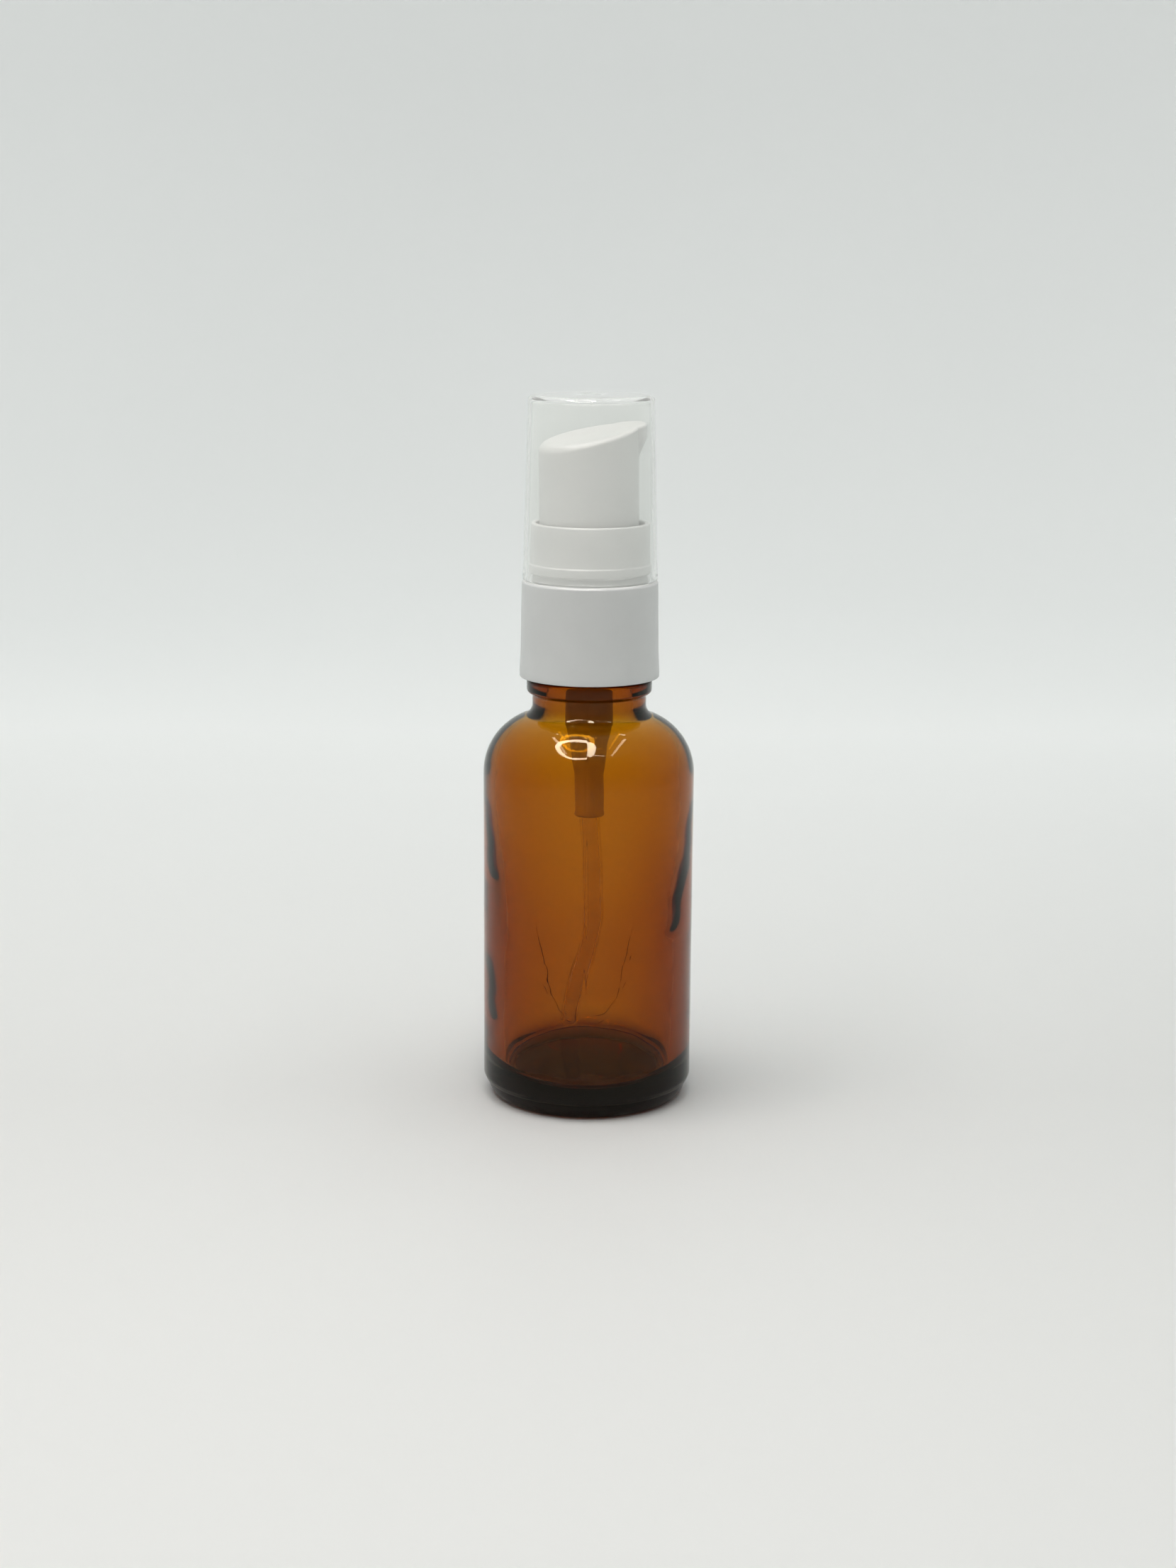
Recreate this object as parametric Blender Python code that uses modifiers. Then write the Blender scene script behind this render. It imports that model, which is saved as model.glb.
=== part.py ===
"""Pump oil bottle: a 30 ml amber glass bottle with a treatment pump and a clear overcap.

Metres, +Z up. The origin is the centre of the ring that the bottle stands on. The spout points
between +X and +Y. Every turned piece is centred on the Z axis, which is also the pump's axis.
"""

import math

import bmesh
import bpy
from mathutils import Vector

MM = 0.001

# Driving dimensions
BODY_RADIUS = 16.5 * MM
GLASS_HEIGHT = 78.5 * MM
WALL = 2.1 * MM
BORE_RADIUS = 5.75 * MM
COLLAR_BOTTOM = 67.35 * MM
COLLAR_TOP = 82.3 * MM
RING_TOP = 91.2 * MM
TOTAL_HEIGHT = 110.55 * MM
THREAD_PITCH = 3.0 * MM
SEAT_GAP = 0.1 * MM  # between pieces that rest on each other
FIT_GAP = 0.15 * MM  # between pieces that sit inside each other

# Bottle, outside
SHOULDER_START = 52.2 * MM
SHOULDER_RADIUS = 9.5 * MM
NECK_RADIUS = 8.9 * MM
NECK_FILLET = 2.0 * MM
BEAD_RADIUS = 9.77 * MM
BEAD_BOTTOM = 64.75 * MM
BEAD_TOP = 66.95 * MM
FINISH_RADIUS = 8.0 * MM
THREAD_CREST = 8.95 * MM
THREAD_START = 71.0 * MM
THREAD_TURNS = 1.25
HEEL_START = 3.6 * MM
FOOT_RADIUS = 15.76 * MM
FOOT_TOP = 2.42 * MM
REST_OUTER = 13.95 * MM
REST_INNER = 13.1 * MM
PUSH_UP = 1.3 * MM

# Bottle, inside
FLOOR_HEIGHT = 4.3 * MM
FLOOR_RISE = 2.9 * MM  # the settled glass makes the floor higher at the back wall than at the front
FLOOR_FILLET = 2.2 * MM
INNER_SHOULDER_START = 52.9 * MM
INNER_SHOULDER_RADIUS = 8.2 * MM
THROAT_FILLET = 3.9 * MM
NECK_BORE = 6.7 * MM  # the bore narrows again inside the threads
NECK_BORE_TOP = 67.0 * MM
FINISH_BORE_BOTTOM = 69.0 * MM
LOW_WALL = 2.4 * MM  # the glass is thicker low down
LOW_WALL_TOP = 26.0 * MM
HIGH_WALL_BOTTOM = 44.0 * MM

# Collar
COLLAR_TOP_RADIUS = 10.52 * MM
COLLAR_MID_RADIUS = 10.68 * MM
COLLAR_RIM_RADIUS = 10.85 * MM
COLLAR_INNER = 9.3 * MM
COLLAR_THREAD_CREST = 8.2 * MM
COLLAR_PLATE = 1.4 * MM
COLLAR_HOLE = 7.1 * MM

# Guide ring
RING_BORE = 8.3 * MM
RING_TOP_RADIUS = 9.12 * MM
RING_BODY_RADIUS = 9.26 * MM
SNAP_BEAD_RADIUS = 9.4 * MM
SNAP_GROOVE_RADIUS = 8.85 * MM

# Pump engine
GASKET_THICKNESS = 0.9 * MM
FLANGE_THICKNESS = 1.1 * MM
FLANGE_RADIUS = 8.9 * MM
CHAMBER_RADIUS = 3.05 * MM
HOUSING_RADIUS = 3.65 * MM
LEDGE_HEIGHT = 58.4 * MM
BALL_RADIUS = 1.5 * MM
BALL_CENTRE = 55.85 * MM
TAIL_END = 45.3 * MM
STEM_RADIUS = 1.75 * MM
STEM_BORE = 1.1 * MM
STEM_BOTTOM = 75.6 * MM
STEM_TOP = 101.0 * MM
PLUG_BOTTOM = 77.0 * MM
PISTON_TOP = 76.2 * MM
PISTON_BOTTOM = 71.8 * MM
PIN_RADIUS = 0.95 * MM
PIN_HEAD_RADIUS = 2.5 * MM
PIN_HEAD_BOTTOM = 70.6 * MM

# Actuator
HEAD_RADIUS = 7.45 * MM
HEAD_BOTTOM = 88.5 * MM
HEAD_CENTRE_HEIGHT = 104.6 * MM
HEAD_SLOPE = 0.204
HEAD_DISH = 0.35 * MM
HEAD_REAR_SWELL = 0.45 * MM
SPOUT_REACH = 8.9 * MM
SPOUT_HALF_ANGLE = math.radians(36)
SPOUT_HEADING = math.radians(25)
SPOUT_UNDERSIDE = 100.6 * MM
SPOUT_FULL_HEIGHT = 104.4 * MM
OUTLET_HEIGHT = 105.45 * MM
ORIFICE_RADIUS = 0.6 * MM

# Overcap
CAP_BOTTOM = COLLAR_TOP + SEAT_GAP
CAP_TOP_RADIUS = 9.68 * MM
CAP_RIM_RADIUS = 10.42 * MM
CAP_WALL = 0.68 * MM
CAP_ROOF = 0.85 * MM

# Dip tube
TUBE_RADIUS = 1.55 * MM
TUBE_WALL = 0.5 * MM
TUBE_ROUTE = [
    Vector(point) * MM
    for point in (
        (0.0, 0.0, 48.9),
        (0.0, 0.0, 45.0),
        (0.6, 0.0, 38.0),
        (0.9, 0.15, 33.0),
        (0.9, 1.1, 27.5),
        (0.0, 3.0, 22.3),
        (-1.3, 5.1, 18.2),
        (-2.1, 7.2, 14.8),
        (-2.8, 9.2, 11.0),
        (-3.1, 10.4, 8.4),
    )
]

ROUND_STEPS = 40
SMALL_ROUND_STEPS = 24


# ---------------------------------------------------------------- helpers


def clear_scene():
    for old in list(bpy.data.objects):
        bpy.data.objects.remove(old)


def new_collection(name):
    collection = bpy.data.collections.new(name)
    bpy.context.scene.collection.children.link(collection)
    return collection


def material(name, colour, roughness, metallic=0.0, transmission=0.0):
    made = bpy.data.materials.new(name)
    made.use_nodes = True
    shader = made.node_tree.nodes["Principled BSDF"]
    shader.inputs["Base Color"].default_value = (*colour, 1.0)
    shader.inputs["Roughness"].default_value = roughness
    shader.inputs["Metallic"].default_value = metallic
    shader.inputs["Transmission Weight"].default_value = transmission
    return made


def arc(centre, radius, start, end, steps, squash=1.0):
    """(r, z) points on a round stretch of a profile; angles in degrees, 0 pointing away from the axis."""
    points = []
    for i in range(steps + 1):
        angle = math.radians(start + (end - start) * i / steps)
        across = centre[0] + radius * math.cos(angle)
        points.append((across, centre[1] + radius * squash * math.sin(angle)))
    return points


def add_object(name, mesh, paint, collection):
    made = bpy.data.objects.new(name, mesh)
    collection.objects.link(made)
    if paint:
        mesh.materials.append(paint)
    return made


def turned(name, profile, paint, collection, steps=ROUND_STEPS, ring=False):
    """Turns an (r, z) profile round the Z axis.

    A ring's profile closes on itself, and any other one has both its ends on the axis.
    """
    corners = len(profile)
    edges = [(i, i + 1) for i in range(corners - 1)]
    if ring:
        edges.append((corners - 1, 0))
    mesh = bpy.data.meshes.new(name)
    mesh.from_pydata([(r, 0.0, z) for r, z in profile], edges, [])
    made = add_object(name, mesh, paint, collection)
    screw = made.modifiers.new("turn", "SCREW")
    screw.steps = steps
    screw.render_steps = steps
    screw.use_merge_vertices = True
    screw.merge_threshold = 0.00001
    screw.use_smooth_shade = True
    return made


def cut(target, cutter):
    """Takes the cutter's shape out of the target."""
    cutter.hide_render = True
    cutter.display_type = "WIRE"
    step = target.modifiers.new("cut_" + cutter.name, "BOOLEAN")
    step.operation = "DIFFERENCE"
    step.object = cutter


def join(target, added):
    """Adds a helper's shape to the target, as one body with it."""
    added.hide_render = True
    added.display_type = "WIRE"
    step = target.modifiers.new("join_" + added.name, "BOOLEAN")
    step.operation = "UNION"
    step.object = added


def drill(name, start, end, radius, collection, steps=16):
    """A cylinder from start to end, to cut a hole with."""
    along = end - start
    mesh = bpy.data.meshes.new(name)
    shape = bmesh.new()
    bmesh.ops.create_cone(
        shape, cap_ends=True, segments=steps, radius1=radius, radius2=radius, depth=along.length
    )
    shape.to_mesh(mesh)
    shape.free()
    made = add_object(name, mesh, None, collection)
    made.rotation_euler = along.to_track_quat("Z", "Y").to_euler()
    made.location = (start + end) / 2
    return made


def loft(name, sections, paint, collection):
    """One closed body through rings of points that all have the same count, with a flat cap at each end."""
    shape = bmesh.new()
    rings = [[shape.verts.new(point) for point in section] for section in sections]
    count = len(rings[0])
    for below, above in zip(rings, rings[1:]):
        for i in range(count):
            after = (i + 1) % count
            shape.faces.new((below[i], below[after], above[after], above[i]))
    shape.faces.new(list(reversed(rings[0])))
    shape.faces.new(rings[-1])
    bmesh.ops.recalc_face_normals(shape, faces=shape.faces[:])
    mesh = bpy.data.meshes.new(name)
    shape.to_mesh(mesh)
    shape.free()
    return add_object(name, mesh, paint, collection)


def smooth_route(route, steps):
    """Points on a Catmull-Rom curve through the route, steps of them for each stretch."""
    padded = [route[0] * 2 - route[1], *route, route[-1] * 2 - route[-2]]
    points = []
    for before, start, end, after in zip(padded, padded[1:], padded[2:], padded[3:]):
        for i in range(steps):
            t = i / steps
            points.append(
                0.5
                * (
                    2 * start
                    + (end - before) * t
                    + (2 * before - 5 * start + 4 * end - after) * t**2
                    + (3 * start - before - 3 * end + after) * t**3
                )
            )
    return [*points, route[-1]]


def wire(name, points, radius, paint, collection, sides_level=2, capped=True):
    """A round bar along the points."""
    curve = bpy.data.curves.new(name, "CURVE")
    curve.dimensions = "3D"
    curve.bevel_depth = radius
    curve.bevel_resolution = sides_level
    curve.use_fill_caps = capped
    spline = curve.splines.new("POLY")
    spline.points.add(len(points) - 1)
    for place, point in zip(spline.points, points):
        place.co = (*point, 1.0)
    return add_object(name, curve, paint, collection)


def thread_ridge(name, wall, crest, start_height, collection):
    """A right-hand screw ridge from just inside the wall's radius to the crest, fading out at both ends."""
    root = wall + math.copysign(0.15 * MM, wall - crest)
    half_root, half_crest = 0.55 * MM, 0.3 * MM
    steps_per_turn = 24
    fade = 3
    count = round(THREAD_TURNS * steps_per_turn)
    sections = []
    for i in range(count + 1):
        share = min(1.0, (min(i, count - i) + 0.4) / fade)
        angle = 2 * math.pi * i / steps_per_turn
        middle = start_height + THREAD_PITCH * i / steps_per_turn
        reach = wall + (crest - wall) * share
        corners = (
            (root, middle - half_root),
            (reach, middle - half_crest * share),
            (reach, middle + half_crest * share),
            (root, middle + half_root),
        )
        sections.append([(r * math.cos(angle), r * math.sin(angle), z) for r, z in corners])
    return loft(name, sections, None, collection)


# ---------------------------------------------------------------- bottle


def tangent_arcs(wall_radius, start, shoulder_radius, side_radius, fillet_radius, steps):
    """From the body wall up to the neck's side_radius: the convex shoulder, then the concave fillet on it."""
    shoulder = (wall_radius - shoulder_radius, start)
    across = side_radius + fillet_radius - shoulder[0]
    rise = math.sqrt((shoulder_radius + fillet_radius) ** 2 - across**2)
    fillet = (side_radius + fillet_radius, start + rise)
    meet = math.degrees(math.atan2(rise, across))
    return [
        *arc(shoulder, shoulder_radius, 0, meet, steps),
        *arc(fillet, fillet_radius, 180 + meet, 180, 3)[1:],
    ]


def settled_glass(name, collection):
    """The glass that ran down to the floor inside, with a top that slopes up towards the back."""
    reach = BODY_RADIUS - WALL / 2
    low = (PUSH_UP + FLOOR_HEIGHT) / 2
    shape = bmesh.new()
    bmesh.ops.create_cone(
        shape, cap_ends=True, segments=ROUND_STEPS, radius1=reach, radius2=reach, depth=FLOOR_HEIGHT
    )
    for vertex in shape.verts:
        top = FLOOR_HEIGHT + FLOOR_RISE * (1 + vertex.co.y / (BODY_RADIUS - LOW_WALL)) / 2
        vertex.co.z = top if vertex.co.z > 0 else low
    mesh = bpy.data.meshes.new(name)
    shape.to_mesh(mesh)
    shape.free()
    return add_object(name, mesh, None, collection)


def make_bottle(glass, parts, helpers):
    inner = BODY_RADIUS - WALL
    low_inner = BODY_RADIUS - LOW_WALL
    floor_corner = (low_inner - FLOOR_FILLET, FLOOR_HEIGHT + FLOOR_FILLET)
    foot = FOOT_RADIUS - REST_OUTER
    lip = 0.5 * MM
    edge = 0.3 * MM
    profile = [
        (0.0, FLOOR_HEIGHT),
        *arc(floor_corner, FLOOR_FILLET, -90, 0, 5),
        (low_inner, LOW_WALL_TOP),
        (inner, HIGH_WALL_BOTTOM),
        *tangent_arcs(inner, INNER_SHOULDER_START, INNER_SHOULDER_RADIUS, NECK_BORE, THROAT_FILLET, 6),
        (NECK_BORE, NECK_BORE_TOP),
        (BORE_RADIUS, FINISH_BORE_BOTTOM),
        (BORE_RADIUS, GLASS_HEIGHT - edge),
        (BORE_RADIUS + edge, GLASS_HEIGHT),
        *arc((FINISH_RADIUS - lip, GLASS_HEIGHT - lip), lip, 90, 0, 2),
        (FINISH_RADIUS, BEAD_TOP + edge),
        (BEAD_RADIUS - edge, BEAD_TOP),
        (BEAD_RADIUS, BEAD_TOP - edge),
        *arc((BEAD_RADIUS - 0.6 * MM, BEAD_BOTTOM + 0.6 * MM), 0.6 * MM, 0, -80, 3),
        (NECK_RADIUS, BEAD_BOTTOM - 0.05 * MM),
        *reversed(tangent_arcs(BODY_RADIUS, SHOULDER_START, SHOULDER_RADIUS, NECK_RADIUS, NECK_FILLET, 8)),
        (BODY_RADIUS, HEEL_START),
        (BODY_RADIUS - 0.2 * MM, 3.0 * MM),
        *arc((REST_OUTER, FOOT_TOP), foot, 0, -90, 4, FOOT_TOP / foot),
        (REST_INNER, 0.0),
        (REST_INNER - 1.1 * MM, 0.55 * PUSH_UP),
        (0.55 * REST_INNER, 0.9 * PUSH_UP),
        (0.0, PUSH_UP),
    ]
    bottle = turned("bottle", profile, glass, parts)
    join(bottle, settled_glass("bottle_floor", helpers))
    join(bottle, thread_ridge("bottle_thread", FINISH_RADIUS, THREAD_CREST, THREAD_START, helpers))


# ---------------------------------------------------------------- closure


def make_collar(white, parts, helpers):
    edge = 0.4 * MM
    flare = 71.5 * MM
    plate_under = COLLAR_TOP - COLLAR_PLATE
    profile = [
        (COLLAR_HOLE, COLLAR_TOP),
        *arc((COLLAR_TOP_RADIUS - edge, COLLAR_TOP - edge), edge, 90, 0, 3),
        (COLLAR_MID_RADIUS, flare),
        (COLLAR_RIM_RADIUS - 0.04 * MM, 68.9 * MM),
        (COLLAR_RIM_RADIUS, 68.2 * MM),
        (COLLAR_RIM_RADIUS, COLLAR_BOTTOM),
        (COLLAR_INNER + 0.15 * MM, COLLAR_BOTTOM),
        (COLLAR_INNER, COLLAR_BOTTOM + 0.3 * MM),
        (COLLAR_INNER, plate_under),
        (COLLAR_HOLE, plate_under),
    ]
    collar = turned("collar", profile, white, parts, ring=True)
    start = THREAD_START - THREAD_PITCH / 2
    join(collar, thread_ridge("collar_thread", COLLAR_INNER, COLLAR_THREAD_CREST, start, helpers))


def make_guide_ring(white, parts):
    """Snapped to the housing through the collar's hole. It guides the actuator and holds the overcap."""
    under = COLLAR_TOP + SEAT_GAP
    plate_top = under + 1.1 * MM
    edge = 0.3 * MM
    skirt_outer, skirt_inner, skirt_bottom = 6.8 * MM, 5.7 * MM, 81.0 * MM
    plug_outer, plug_inner = CHAMBER_RADIUS - FIT_GAP, STEM_RADIUS + 0.2 * MM
    profile = [
        (RING_BORE, RING_TOP - edge),
        (RING_BORE + edge, RING_TOP),
        *arc((RING_TOP_RADIUS - edge, RING_TOP - edge), edge, 90, 0, 2),
        (RING_BODY_RADIUS, 85.1 * MM),
        (SNAP_BEAD_RADIUS, 84.7 * MM),
        (SNAP_BEAD_RADIUS, 83.9 * MM),
        (9.24 * MM, plate_top),
        (SNAP_GROOVE_RADIUS, plate_top - 0.2 * MM),
        (SNAP_GROOVE_RADIUS, under),
        (skirt_outer, under),
        (skirt_outer, skirt_bottom),
        (skirt_inner, skirt_bottom),
        (skirt_inner, under),
        (plug_outer, under),
        (plug_outer, PLUG_BOTTOM),
        (plug_inner, PLUG_BOTTOM),
        (plug_inner, plate_top),
        (RING_BORE, plate_top),
    ]
    turned("guide_ring", profile, white, parts, ring=True)


def make_gasket(foam, parts):
    bottom = GLASS_HEIGHT + SEAT_GAP
    top = bottom + GASKET_THICKNESS
    inner, outer = 5.9 * MM, 8.6 * MM
    profile = [(inner, top), (outer, top), (outer, bottom), (inner, bottom)]
    turned("neck_gasket", profile, foam, parts, ring=True)


def cap_outer(height):
    """The overcap's outer radius at a height: it tapers towards the top so that it leaves its mould."""
    share = (height - CAP_BOTTOM) / (TOTAL_HEIGHT - CAP_BOTTOM)
    return CAP_RIM_RADIUS + (CAP_TOP_RADIUS - CAP_RIM_RADIUS) * share


def make_overcap(clear, parts):
    roof = TOTAL_HEIGHT - CAP_ROOF
    edge = 0.9 * MM
    inner_edge = 0.45 * MM
    gate_radius, gate_depth = 0.5 * MM, 0.25 * MM
    inner_top = cap_outer(roof) - CAP_WALL
    profile = [
        (0.0, TOTAL_HEIGHT),
        *arc((CAP_TOP_RADIUS - edge, TOTAL_HEIGHT - edge), edge, 90, 0, 4),
        (cap_outer(CAP_BOTTOM + 0.2 * MM), CAP_BOTTOM + 0.2 * MM),
        (CAP_RIM_RADIUS - 0.2 * MM, CAP_BOTTOM),
        (9.8 * MM, CAP_BOTTOM),
        (9.56 * MM, 83.0 * MM),
        (9.56 * MM, 83.4 * MM),
        (cap_outer(84.4 * MM) - CAP_WALL, 84.4 * MM),
        *arc((inner_top - inner_edge, roof - inner_edge), inner_edge, 0, 90, 3),
        (gate_radius, roof),
        (0.0, roof - gate_depth),
    ]
    turned("overcap", profile, clear, parts)


# ---------------------------------------------------------------- pump engine


def make_housing(natural, parts, helpers):
    flange_bottom = GLASS_HEIGHT + 2 * SEAT_GAP + GASKET_THICKNESS
    flange_top = flange_bottom + FLANGE_THICKNESS
    upstand_outer, upstand_inner = 5.4 * MM, 4.6 * MM
    seat_radius = 0.9 * MM
    seat_height = 54.7 * MM
    ball_room = 1.9 * MM
    tail_bore = TUBE_RADIUS + FIT_GAP
    tail_stop = 49.3 * MM
    profile = [
        (CHAMBER_RADIUS, flange_top),
        (upstand_inner, flange_top),
        (upstand_inner, COLLAR_TOP - SEAT_GAP),
        (upstand_outer, COLLAR_TOP - SEAT_GAP),
        (upstand_outer, flange_top),
        (FLANGE_RADIUS, flange_top),
        (FLANGE_RADIUS, flange_bottom),
        (HOUSING_RADIUS + 0.3 * MM, flange_bottom),
        (HOUSING_RADIUS, flange_bottom - 0.6 * MM),
        (HOUSING_RADIUS, 58.6 * MM),
        (3.4 * MM, 57.4 * MM),
        (2.95 * MM, 55.8 * MM),
        (2.65 * MM, 53.0 * MM),
        (2.3 * MM, 51.0 * MM),
        (2.2 * MM, 46.2 * MM),
        (2.3 * MM, TAIL_END + 0.3 * MM),
        (2.15 * MM, TAIL_END),
        (tail_bore, TAIL_END),
        (tail_bore, tail_stop),
        (seat_radius, tail_stop + 0.3 * MM),
        (seat_radius, seat_height - 0.4 * MM),
        (ball_room, 55.7 * MM),
        (ball_room, LEDGE_HEIGHT - 0.6 * MM),
        (1.3 * MM, LEDGE_HEIGHT - 0.4 * MM),
        (1.3 * MM, LEDGE_HEIGHT),
        (CHAMBER_RADIUS, LEDGE_HEIGHT),
    ]
    housing = turned("pump_housing", profile, natural, parts, SMALL_ROUND_STEPS, ring=True)
    height = 74.0 * MM
    cut(
        housing,
        drill(
            "vent_hole",
            Vector((2.5 * MM, 0, height)),
            Vector((4.5 * MM, 0, height)),
            0.4 * MM,
            helpers,
        ),
    )


def make_stem(white, parts):
    edge = 0.25 * MM
    profile = [
        (STEM_BORE, STEM_TOP),
        (STEM_RADIUS - edge, STEM_TOP),
        (STEM_RADIUS, STEM_TOP - edge),
        (STEM_RADIUS, STEM_BOTTOM),
        (STEM_BORE, STEM_BOTTOM),
    ]
    turned("stem", profile, white, parts, SMALL_ROUND_STEPS, ring=True)


def make_piston_pin(natural, parts, helpers):
    """Pressed into the stem's lower end.

    Its head closes the piston from below, and a slot along it lets the oil up into the stem.
    """
    top = 79.0 * MM
    cone_top = 72.5 * MM
    head_top = PISTON_BOTTOM - FIT_GAP
    profile = [
        (0.0, top),
        (PIN_RADIUS - 0.2 * MM, top),
        (PIN_RADIUS, top - 0.3 * MM),
        (PIN_RADIUS, cone_top),
        (1.4 * MM, head_top),
        (PIN_HEAD_RADIUS, head_top),
        (PIN_HEAD_RADIUS, PIN_HEAD_BOTTOM),
        (1.7 * MM, PIN_HEAD_BOTTOM),
        (1.5 * MM, 68.8 * MM),
        (0.0, 68.8 * MM),
    ]
    pin = turned("piston_pin", profile, natural, parts, SMALL_ROUND_STEPS)
    slot = drill(
        "pin_slot", Vector((PIN_RADIUS, 0, 72.9 * MM)), Vector((PIN_RADIUS, 0, 80 * MM)), 0.4 * MM, helpers
    )
    cut(pin, slot)


def make_piston(soft, parts):
    """Two sealing lips on a sleeve that slides a little on the pin, which is how the outlet opens."""
    lip = CHAMBER_RADIUS - 0.1 * MM
    waist = 2.35 * MM
    counterbore = STEM_RADIUS + 0.2 * MM
    bore = PIN_RADIUS + FIT_GAP
    profile = [
        (counterbore, PISTON_TOP),
        (2.25 * MM, PISTON_TOP),
        (lip, PISTON_TOP - 0.1 * MM),
        (lip, PISTON_TOP - 0.7 * MM),
        (waist, PISTON_TOP - 1.3 * MM),
        (waist, PISTON_BOTTOM + 1.3 * MM),
        (lip, PISTON_BOTTOM + 0.7 * MM),
        (lip, PISTON_BOTTOM + 0.1 * MM),
        (2.25 * MM, PISTON_BOTTOM),
        (1.75 * MM, PISTON_BOTTOM),
        (bore, 72.8 * MM),
        (bore, 74.5 * MM),
        (counterbore, 74.6 * MM),
    ]
    turned("piston", profile, soft, parts, SMALL_ROUND_STEPS, ring=True)


def make_spring(steel, parts):
    wire_radius = 0.25 * MM
    coil_radius = 2.2 * MM
    bottom = LEDGE_HEIGHT + wire_radius + SEAT_GAP
    top = PIN_HEAD_BOTTOM - wire_radius - SEAT_GAP
    turns, steps_per_turn, closed_turns = 7, 10, 1
    count = turns * steps_per_turn
    closed_pitch = 2.5 * wire_radius
    open_rise = top - bottom - 2 * closed_turns * closed_pitch
    points = []
    for i in range(count + 1):
        turn = i / steps_per_turn
        from_end = min(turn, turns - turn)
        if from_end < closed_turns:
            height = from_end * closed_pitch
            z = bottom + height if turn < turns / 2 else top - height
        else:
            share = (turn - closed_turns) / (turns - 2 * closed_turns)
            z = bottom + closed_turns * closed_pitch + open_rise * share
        angle = 2 * math.pi * turn
        points.append((coil_radius * math.cos(angle), coil_radius * math.sin(angle), z))
    wire("return_spring", points, wire_radius, steel, parts)


def make_ball(glass, parts):
    mesh = bpy.data.meshes.new("inlet_ball")
    shape = bmesh.new()
    bmesh.ops.create_uvsphere(shape, u_segments=16, v_segments=10, radius=BALL_RADIUS)
    shape.to_mesh(mesh)
    shape.free()
    mesh.shade_smooth()
    ball = add_object("inlet_ball", mesh, glass, parts)
    ball.location = (0, 0, BALL_CENTRE)


def make_dip_tube(natural, parts):
    """A hollow straw: an open skin along the route, thickened inwards."""
    points = smooth_route(TUBE_ROUTE, 3)
    tube = wire("dip_tube", points, TUBE_RADIUS, natural, parts, capped=False)
    wall = tube.modifiers.new("wall", "SOLIDIFY")
    wall.thickness = TUBE_WALL
    wall.offset = -1


# ---------------------------------------------------------------- actuator


def head_outline(angle, height):
    """The actuator's outer radius in a direction (0 is the spout's) at a height."""
    climb = max(0.0, (height - RING_TOP) / (HEAD_CENTRE_HEIGHT - RING_TOP))
    rear = ((1 - math.cos(angle)) / 2) ** 2
    front = ((1 + math.cos(angle)) / 2) ** 2
    radius = HEAD_RADIUS + HEAD_REAR_SWELL * rear * (1 + 0.45 * climb) - 0.2 * MM * front * min(1.0, climb)
    off_axis = abs(math.remainder(angle, 2 * math.pi))
    if off_axis < SPOUT_HALF_ANGLE and height > SPOUT_UNDERSIDE:
        rise = min(1.0, (height - SPOUT_UNDERSIDE) / (SPOUT_FULL_HEIGHT - SPOUT_UNDERSIDE))
        swell = rise * rise * (3 - 2 * rise)
        across = math.cos(off_axis / SPOUT_HALF_ANGLE * math.pi / 2) ** 0.5
        radius += (SPOUT_REACH - radius) * swell * across
    return radius


def head_top(x, share):
    """The finger pad's height at x, share 1 on its rim and 0 in the middle."""
    return HEAD_CENTRE_HEIGHT + HEAD_SLOPE * x - HEAD_DISH * (1 - share * share)


def head_skin(around, levels, pad_rings):
    """Rings of points up the actuator's side, round its rim and in over its finger pad."""
    rim_steps = 3
    rings = [[] for _ in range(levels + rim_steps + pad_rings)]
    for i in range(around):
        angle = 2 * math.pi * i / around
        reach = head_outline(angle, HEAD_CENTRE_HEIGHT)
        soft = 0.45 * MM + 1.0 * MM * ((1 - math.cos(angle)) / 2) ** 2
        inset = reach - soft
        shoulder = head_top(reach * math.cos(angle), 1.0) - soft
        column = []
        for level in range(levels):
            height = HEAD_BOTTOM + (shoulder - HEAD_BOTTOM) * (level / (levels - 1)) ** 0.6
            column.append((head_outline(angle, height), height))
        for step in range(rim_steps):
            turn = (step + 1) / rim_steps * math.pi / 2
            top = head_top(inset * math.cos(angle), 1.0)
            height = shoulder + (top - shoulder) * math.sin(turn)
            column.append((inset + soft * math.cos(turn), height))
        for k in range(pad_rings):
            share = 1 - (k + 1) / (pad_rings + 1)
            x = inset * share * math.cos(angle)
            column.append((inset * share, head_top(x, share)))
        for ring, (radius, height) in zip(rings, column):
            ring.append((radius * math.cos(angle), radius * math.sin(angle), height))
    return rings


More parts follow.
